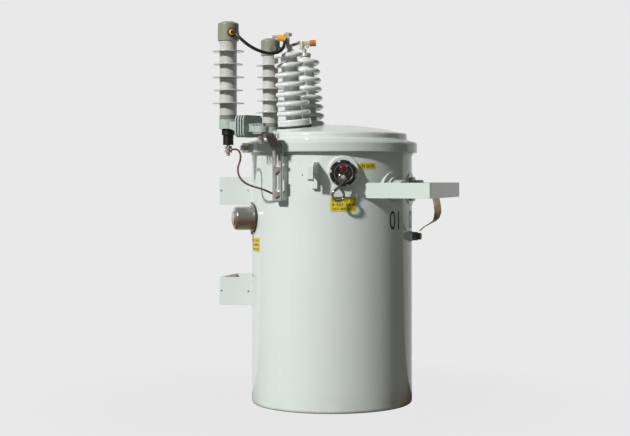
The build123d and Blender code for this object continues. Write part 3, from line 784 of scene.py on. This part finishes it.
def makeWelds():
    for number, side in ((1, -1), (2, 1)):
        low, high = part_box("lifting_lug_%d" % number)
        foot = [Vector((x, side * sqrt(tankRadius**2 - x**2), z)) for x, z in
                ((low[0], low[2]), (high[0], low[2]), (high[0], high[2]), (low[0], high[2]))]
        makeWeld("lug_weld_%d" % number, [foot], Vector((0, side, 0)), closed=True)
    for level in ("upper", "lower"):
        low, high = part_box("pole_hanger_" + level)
        plate = weld["hangerPlate"]
        feet = [loopOnWall(low[1], low[1] + plate, -1, low[2], high[2]),
                loopOnWall(high[1] - plate, high[1], -1, low[2], high[2])]
        makeWeld("hanger_weld_" + level, feet, Vector((-1, 0, 0)), closed=True)
    low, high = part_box("lv_guard")
    root, plate = weld["guardRoot"], weld["guardPlate"]
    for number, side in ((1, -1), (2, 1)):
        foot = loopOnWall(side * root, side * (root - plate), 1, low[2], high[2])
        makeWeld("guard_weld_%d" % number, [foot], Vector((1, 0, 0)), True, weld["guardRadius"])
    for number, side in ((1, -1), (2, 1)):
        low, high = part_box("side_bracket_%d" % number)
        angle = side * bracketAngle
        top = high[2] - weld["webStop"]
        outer, inner = weld["webSides"]
        foot = []
        for lateral, height in ((outer, low[2]), (inner, low[2]), (inner, top), (outer, top)):
            foot.append(onWall(angle + side * lateral / tankRadius * 180 / pi, height))
        makeWeld("bracket_weld_%d" % number, [foot], onWall(angle, 0), closed=True)


makeWelds()


def ringOnWall(angle, height, radius, count=96):
    # a circle drawn on the tank wall round one spot
    ring = []
    for step in range(count):
        turn = 2 * pi * step / count
        lateral = radius * sin(turn)
        ring.append(onWall(angle + asin(lateral / tankRadius) * 180 / pi, height + radius * cos(turn)))
    return ring


breaker = {"angle": -69.0, "height": 0.652, "boss": 0.042, "bossLateral": 0.003, "bossRise": 0.005,
           "hub": (-0.011, 0.0035), "lens": 0.012}
bossAngle = breaker["angle"] + breaker["bossLateral"] / tankRadius * 180 / pi
bossHeight = breaker["height"] + breaker["bossRise"]
makeWeld("breaker_weld", [ringOnWall(bossAngle, bossHeight, breaker["boss"])],
         onWall(breaker["angle"], 0), closed=True)
groundBoss = {"angle": -2.0, "height": 0.4755, "radius": 0.0145, "weld": 0.002}
groundRing = ringOnWall(groundBoss["angle"], groundBoss["height"], groundBoss["radius"], 40)
makeWeld("ground_weld", [groundRing], onWall(groundBoss["angle"], 0), closed=True,
         radius=groundBoss["weld"])
print("welds laid")


thread = {
    "height": 0.0007,
    "pitch": 0.0018,
    "perTurn": 14,
    "sides": 3,
    "sunk": 0.0006,         # how far the ridge's foot sits inside the shank
    "foot": 0.42,           # half its width, in pitches
    "runOut": 6,            # steps over which it grows at each end
    "stud": {"radius": 0.005, "low": 0.0015, "high": 0.0085},
    "clamp": {"radius": 0.006, "low": 0.001, "high": 0.019, "reach": 0.092, "foot": 0.730},
    "farDrop": 0.006,       # the far arrester's clamp sits this much lower
}


def makeThread(name, place, settings):
    # a ridge wound round a bolt's shank
    radius, low, high = settings["radius"], settings["low"], settings["high"]
    pitch = thread["pitch"]
    turns = (high - low) / pitch
    bm = bmesh.new()
    count = int(turns * thread["perTurn"])
    rings = []
    for step in range(count + 1):
        turn = 2 * pi * step / thread["perTurn"]
        height = low + (high - low) * step / count
        out = Vector((cos(turn), sin(turn), 0))
        grown = thread["height"] * min(1, step / thread["runOut"], (count - step) / thread["runOut"])
        root, half = radius - thread["sunk"], pitch * thread["foot"]
        ring = []
        for reach, rise in ((root, -half), (radius + grown, 0), (root, half)):
            ring.append(bm.verts.new(place @ (out * reach + Vector((0, 0, height + rise)))))
        rings.append(ring)
    for lower, upper in zip(rings, rings[1:]):
        for side in range(thread["sides"]):
            after = (side + 1) % thread["sides"]
            bm.faces.new((lower[side], lower[after], upper[after], upper[side]))
    bm.faces.new(rings[0][::-1])
    bm.faces.new(rings[-1])
    return addPiece(name, bm, "boltSteel", "galvanised", sharp=30)


def makeThreads():
    for number, side in ((1, -1), (2, 1)):
        x, y, z = middle("arrester_stud_%d" % number)
        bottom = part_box("arrester_stud_%d" % number)[0][2]
        makeThread("stud_thread_%d" % number, upright(x, y, bottom), thread["stud"])
        clamp = thread["clamp"]
        drop = 0.0 if number == 1 else thread["farDrop"]
        x, y, z = onWall(side * bracketAngle, clamp["foot"] - drop, clamp["reach"])
        makeThread("clamp_thread_%d" % number, upright(x, y, z), clamp)


makeThreads()

port = {
    "spread": 54.0,
    "face": 0.0295,
    "height": 0.021,
    "ring": [(0.0080, -0.001), (0.0116, -0.001), (0.0125, 0.0002), (0.0123, 0.0018), (0.0110, 0.0027),
             (0.0082, 0.0024)],
    "bush": [(0.0048, 0.0005), (0.0084, 0.0005), (0.0083, 0.0040), (0.0073, 0.0080), (0.0062, 0.0096),
             (0.0052, 0.0092)],
    "seam": [(0.0090, -0.001), (0.0100, -0.001), (0.0104, 0.0003), (0.0099, 0.0009), (0.0091, 0.0006)],
    "plug": [(0.0, -0.0005), (0.0091, -0.0005), (0.0091, 0.0008), (0.0083, 0.0018), (0.0, 0.0022)],
    "looks": {"bush": ("yellowSleeve", "yellow_sleeve"), "plug": ("capTaupe", "cap_taupe")},
}


def makePorts():
    # each cap has two cable ports: a bush round the lead in one, a closed plug in the other
    for number, side in ((1, -1), (2, 1)):
        x, y, z = middle("arrester_collar_%d" % number)
        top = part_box("arrester_collar_%d" % number)[1][2]
        for facing, outer, inner in ((side, "ring", "bush"), (-side, "seam", "plug")):
            spread, height = facing * port["spread"], top + port["height"]
            place = upright(x, y, 0) @ outward(spread, port["face"], height)
            bm = bmesh.new()
            lathe(bm, place, port[outer])
            addPiece("port_%s_%d" % (outer, number), bm, "gasketRubber", "gasket_rubber")
            bm = bmesh.new()
            lathe(bm, place, port[inner])
            addPiece("port_%s_%d" % (inner, number), bm, *port["looks"][inner])


makePorts()
print("threads and cable ports made")

# profiles as distances from the axis and from the wall
breakerDetails = {
    "rim": [(0.0235, 0.0225), (0.0265, 0.0225), (0.0268, 0.0240), (0.0258, 0.0251), (0.0243, 0.0249),
            (0.0236, 0.0239)],
    "bezel": [(0.0082, 0.0228), (0.0112, 0.0228), (0.0114, 0.0240), (0.0104, 0.0252), (0.0090, 0.0250),
              (0.0083, 0.0240)],
    "screw": [(0.0, 0.0228), (0.0028, 0.0228), (0.0027, 0.0238), (0.0018, 0.0247), (0.0, 0.0250)],
    "screwAngles": (28, 152, 208, 332),
    "screwReach": 0.0215,
    "collar": [(0.0078, 0.0230), (0.0118, 0.0230), (0.0118, 0.0262), (0.0108, 0.0285), (0.0092, 0.0297),
               (0.0078, 0.0297)],
    "nut": [(0.0, 0.0438), (0.0058, 0.0438), (0.0058, 0.0468), (0.0046, 0.0485), (0.0, 0.0490)],
}


def makeBreakerDetails(details):
    place = outward(breaker["angle"], tankRadius, breaker["height"])
    bm = bmesh.new()
    lathe(bm, place, details["rim"], 64)
    addPiece("faceplate_rim", bm, "chrome", "chrome")
    bm = bmesh.new()
    lathe(bm, place @ Matrix.Translation((breaker["lens"], 0, 0)), details["bezel"])
    addPiece("lens_bezel", bm, "chrome", "chrome")
    bm = bmesh.new()
    for angle in details["screwAngles"]:
        turn, reach = radians(angle), details["screwReach"]
        shift = Matrix.Translation((cos(turn) * reach, sin(turn) * reach, 0))
        lathe(bm, place @ shift, details["screw"], 20)
    addPiece("faceplate_screws", bm, "chrome", "chrome")
    bm = bmesh.new()
    hub = Matrix.Translation((*breaker["hub"], 0))
    lathe(bm, place @ hub, details["collar"])
    addPiece("hub_collar", bm, "chrome", "chrome")
    bm = bmesh.new()
    lathe(bm, place @ hub, details["nut"], 6)
    addPiece("handle_nut", bm, "tinnedBrass", "tinned_brass", body="handle")


makeBreakerDetails(breakerDetails)


def onTank(angle, height, lateral, rise, proud):
    # bends a flat drawing round the tank: lateral runs to the right, seen from outside
    return onWall(angle + lateral / tankRadius * 180 / pi, height + rise, proud)


patch = {
    "corner": 0.003,
    "thick": 0.0004,
    "steps": 24,
    "inkHigh": 0.0003,      # a figure's face above its ground
    "inkLow": -0.0002,
}


def makePatch(name, settings):
    # a thin sticker with rounded corners, bent to the wall
    wide, tall = settings["size"][0] / 2, settings["size"][1] / 2
    corner, thick, count = patch["corner"], patch["thick"], patch["steps"]
    bm = bmesh.new()
    rows = []
    for step in range(count + 1):
        turn = pi * step / count
        lateral = -wide * cos(turn)
        inset = max(0.0, abs(lateral) - (wide - corner))
        reach = tall - corner + sqrt(max(corner**2 - inset**2, 0.0))
        rows.append([bm.verts.new(onTank(settings["angle"], settings["height"], lateral, rise, proud))
                     for rise, proud in ((-reach, 0.0), (-reach, thick), (reach, thick), (reach, 0.0))])
    for left, right in zip(rows, rows[1:]):
        for side in range(4):
            after = (side + 1) % 4
            bm.faces.new((left[side], right[side], right[after], left[after]))
    bm.faces.new(rows[0])
    bm.faces.new(rows[-1][::-1])
    addPiece(name, bm, "labelYellow", "yellow_sleeve")


def makeDigits(name, settings, proud):
    # plain figures, set line by line and bent to the wall
    bm = bmesh.new()
    lines = settings["lines"]
    tall = settings["digit"][1]
    for row, words in enumerate(lines):
        text = bpy.data.curves.new(name, "FONT")
        text.body = words
        holder = bpy.data.objects.new(name, text)
        bpy.context.scene.collection.objects.link(holder)
        flat = bpy.data.meshes.new_from_object(holder)
        bpy.data.objects.remove(holder)
        spread = [vertex.co.x for vertex in flat.vertices]
        height = [vertex.co.y for vertex in flat.vertices]
        across = settings["digit"][0] / (max(spread) - min(spread))
        upward = tall / (max(height) - min(height))
        rise = ((len(lines) - 1) / 2 - row) * settings["lineStep"] - tall / 2
        drawing = bmesh.new()
        drawing.from_mesh(flat)
        bmesh.ops.remove_doubles(drawing, verts=drawing.verts, dist=1e-5)
        grown = bmesh.ops.extrude_face_region(drawing, geom=drawing.faces[:])
        top = {item for item in grown["geom"] if isinstance(item, bmesh.types.BMVert)}
        for vertex in drawing.verts:
            lateral = (vertex.co.x - min(spread)) * across - settings["digit"][0] / 2
            lift = (vertex.co.y - min(height)) * upward + rise
            level = proud + patch["inkHigh" if vertex in top else "inkLow"]
            vertex.co = onTank(settings["angle"], settings["height"], lateral, lift, level)
        raised = bpy.data.meshes.new(name)
        drawing.to_mesh(raised)
        drawing.free()
        bm.from_mesh(raised)
        bpy.data.meshes.remove(raised)
        bpy.data.meshes.remove(flat)
    addPiece(name, bm, "markBlack", "black_plastic", sharp=30)


stickers = {
    "sticker_below_breaker": {
        "angle": -68.3, "height": 0.567, "size": (0.072, 0.0385),
        "lines": ["01 2345 67", "8 901 23 4", "567 89 012"],
        "digit": (0.062, 0.0068), "lineStep": 0.0115},
    "sticker_by_breaker": {
        "angle": -51.0, "height": 0.6715, "size": (0.048, 0.017),
        "lines": ["34 5678"],
        "digit": (0.038, 0.0085), "lineStep": 0.01},
    "sticker_below_tap_changer": {
        "angle": -146.0, "height": 0.452, "size": (0.068, 0.040),
        "lines": ["012 345", "67 8901", "234 567"],
        "digit": (0.054, 0.0070), "lineStep": 0.0120},
}
for name, settings in stickers.items():
    makePatch(name, settings)
    makeDigits(name + "_digits", settings, patch["thick"])

terminalNumbers = {"height": 0.5225, "digit": (0.041, 0.051), "lineStep": 0,
                   "angles": {"1": -27.0, "2": 0.0, "3": 27.0}}
for digit, angle in terminalNumbers["angles"].items():
    settings = {**terminalNumbers, "angle": angle, "lines": ["0" + digit]}
    makeDigits("terminal_number_" + digit, settings, 0.0)
print("stickers and numbers applied")


rubberPieces = {
    "wall_plug": {
        "angle": -96.5, "reach": tankRadius, "height": 0.647, "sides": 20,
        "profile": [(0.0, -0.001), (0.0017, -0.001), (0.0017, 0.0004), (0.0012, 0.0007), (0.0, 0.0002)]},
    "band_spacer": {
        "angle": -150, "reach": 0.243, "height": 0.724, "sides": 40,
        "profile": [(0.0, -0.002), (0.0126, -0.002), (0.0131, 0.0), (0.0131, 0.0019), (0.0126, 0.0025),
                    (0.0, 0.0025)]},
}
for name, settings in rubberPieces.items():
    bm = bmesh.new()
    place = outward(settings["angle"], settings["reach"], settings["height"])
    lathe(bm, place, settings["profile"], settings["sides"])
    addPiece(name, bm, "gasketRubber", "gasket_rubber")
print("small rubber pieces made")

studio = {
    "background": 0.814,     # how the floor and backdrop look to the camera
    "fillOpen": (0.265, 0.325, 0.37),     # soft light from the open side, towards the key
    "fillFar": (0.088, 0.080, 0.066),
    "fillSide": 62.0,        # degrees left of the camera that the open side lies
    "room": (0.090, 0.086, 0.078),      # the unlit room in front, in reflections only
    "backdropHalf": 58.0,    # degrees each side that the lit backdrop reaches behind the object
    "keySide": 42.5,         # degrees left of the camera
    "keyLift": 32.3,
    "keyDistance": 30.0,
    "keySize": 2.06,
    "keyPower": 10650.0,
    "keyColour": (1.0, 0.995, 0.985),
    "keyAim": 0.5,           # height of the spot that the key is set out from
    "floorSize": 30,
    "floorShade": (0.24, 0.235, 0.22),
}


def backdropMask(graph, spot):
    # 1 where a direction from the object points to the lit backdrop
    turn = radians(camera["turn"] + 90)
    edge = cos(radians(studio["backdropHalf"]))
    behind = graph.along(spot, (cos(turn), sin(turn), 0))
    return graph.fade(behind, edge - 0.02, edge + 0.02)


def makeFloor(settings):
    bpy.ops.mesh.primitive_grid_add(x_subdivisions=2, y_subdivisions=2, size=settings["floorSize"])
    floor = bpy.context.object
    floor.name = "floor"
    f = newFinish("floor")
    around = f.put("ShaderNodeVectorMath", {"operation": "LENGTH"}, {0: f.place()}, "Value")
    direction = f.put("ShaderNodeVectorMath", {"operation": "NORMALIZE"}, {0: f.place()})
    straight, mirrored = f.seen()
    seen = f.larger(straight, mirrored * backdropMask(f, direction))
    plain = seen * f.fade(around, 0.35, 1.1, 0.96, 1.0)
    glow = f.put("ShaderNodeEmission", {}, {"Color": (settings["background"],) * 3, "Strength": 1.0})
    body = f.put("ShaderNodeBsdfDiffuse", {}, {"Color": settings["floorShade"], "Roughness": 0.0})
    mixed = f.put("ShaderNodeMixShader", {}, {0: plain, 1: body, 2: glow})
    f.put("ShaderNodeOutputMaterial", {}, {"Surface": mixed})
    floor.data.materials.append(f.owner)


def makeWorld(settings):
    world = bpy.data.worlds.new("studio")
    bpy.context.scene.world = world
    g = Graph(world)
    direction = g.put("ShaderNodeTexCoord", {}, {}, "Generated")
    straight, mirrored = g.seen()
    lit = (settings["background"],) * 3
    reflected = g.mixed(backdropMask(g, direction), settings["room"], lit)
    turn = radians(camera["turn"] - 90 - settings["fillSide"])
    opening = g.fade(g.along(direction, (cos(turn), sin(turn), 0)), -0.2, 1.0)
    soft = g.mixed(opening, settings["fillFar"], settings["fillOpen"])
    shade = g.mixed(mirrored, soft, reflected)
    shade = g.mixed(straight, shade, lit)
    back = g.put("ShaderNodeBackground", {}, {"Color": shade, "Strength": 1.0})
    g.put("ShaderNodeOutputWorld", {}, {"Surface": back})


def makeKey(settings):
    turn = radians(camera["turn"] - 90 - settings["keySide"])
    lift = radians(settings["keyLift"])
    toward = Vector((cos(turn) * cos(lift), sin(turn) * cos(lift), sin(lift)))
    data = bpy.data.lights.new("key", "AREA")
    data.shape = "DISK"
    data.size = settings["keySize"]
    data.energy = settings["keyPower"]
    data.color = settings["keyColour"]
    lamp = bpy.data.objects.new("key", data)
    lamp.location = toward * settings["keyDistance"] + Vector((0, 0, settings["keyAim"]))
    lamp.rotation_euler = toward.to_track_quat("Z", "Y").to_euler()
    lamp.visible_camera = False
    bpy.context.scene.collection.objects.link(lamp)


makeFloor(studio)
makeWorld(studio)
makeKey(studio)
bpy.context.scene.view_settings.view_transform = "Standard"
print("studio lit")
